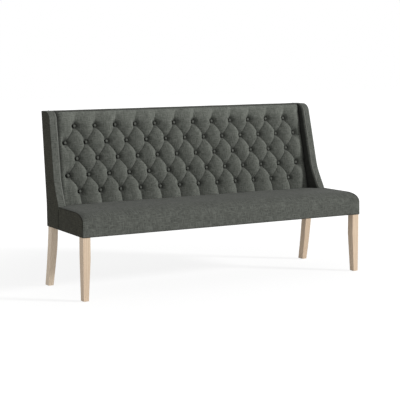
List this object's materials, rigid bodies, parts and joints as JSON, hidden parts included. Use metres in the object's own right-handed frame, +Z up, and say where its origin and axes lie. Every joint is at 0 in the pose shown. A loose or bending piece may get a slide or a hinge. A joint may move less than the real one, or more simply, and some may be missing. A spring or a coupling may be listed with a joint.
{
  "type": "button back sofa",
  "caption": "Upholstered sofa with a deep diamond-buttoned back between low side wings, a flat seat and four tapered oak legs.",
  "frame": {"origin": "on the floor, at the middle of the sofa's box in plan", "axes": "+X along the length of the seat, to the right of the picture; +Y from the front of the seat to its back; +Z up"},
  "size_m": [1.85, 0.6152, 0.9967],
  "materials": {
    "linen": "charcoal grey-green slub weave, linen look",
    "linen_shade": "the same cloth on the ends, the outside and the top strip",
    "oak": "pale natural oak, satin",
    "frame_timber": "sawn softwood",
    "ply": "birch ply",
    "foam": "cream upholstery foam",
    "webbing": "dark woven webbing and lining cloth",
    "zinc_steel": "zinc plated steel",
    "glide_plastic": "dark nylon"
  },
  "bodies": {
    "root": {"seat_cover": "linen", "seat_end_panel_left": "linen_shade", "seat_end_panel_right": "linen_shade", "seat_foam": "foam", "deck_cloth": "webbing", "webbing_lengthwise": "webbing", "webbing_crosswise": "webbing", "tufted_back": "linen", "back_buttons": "linen", "button_ties": "webbing", "tie_anchors": "zinc_steel", "back_foam": "foam", "button_board": "ply", "back_top_strip": "linen_shade", "outside_back": "linen_shade", "outer_side_left": "linen_shade", "outer_side_right": "linen_shade", "wing_pad_left": "linen_shade", "wing_pad_right": "linen_shade", "wing_band_left": "linen", "wing_band_right": "linen", "wing_piping_left": "linen", "wing_piping_right": "linen", "wing_stile_left": "frame_timber", "wing_stile_right": "frame_timber", "side_panel_left": "ply", "side_panel_right": "ply", "front_rail": "frame_timber", "back_rail": "frame_timber", "end_rail_left": "frame_timber", "end_rail_right": "frame_timber", "cross_rails": "frame_timber", "corner_blocks": "frame_timber", "corner_bolts": "zinc_steel", "back_post_left": "frame_timber", "back_post_right": "frame_timber", "back_struts": "frame_timber", "back_top_rail": "frame_timber", "back_lower_rail": "frame_timber", "front_leg_left": "oak", "front_leg_right": "oak", "rear_leg_left": "oak", "rear_leg_right": "oak", "foot_glides": "glide_plastic", "dust_cover": "webbing"}
  },
  "joints": []
}
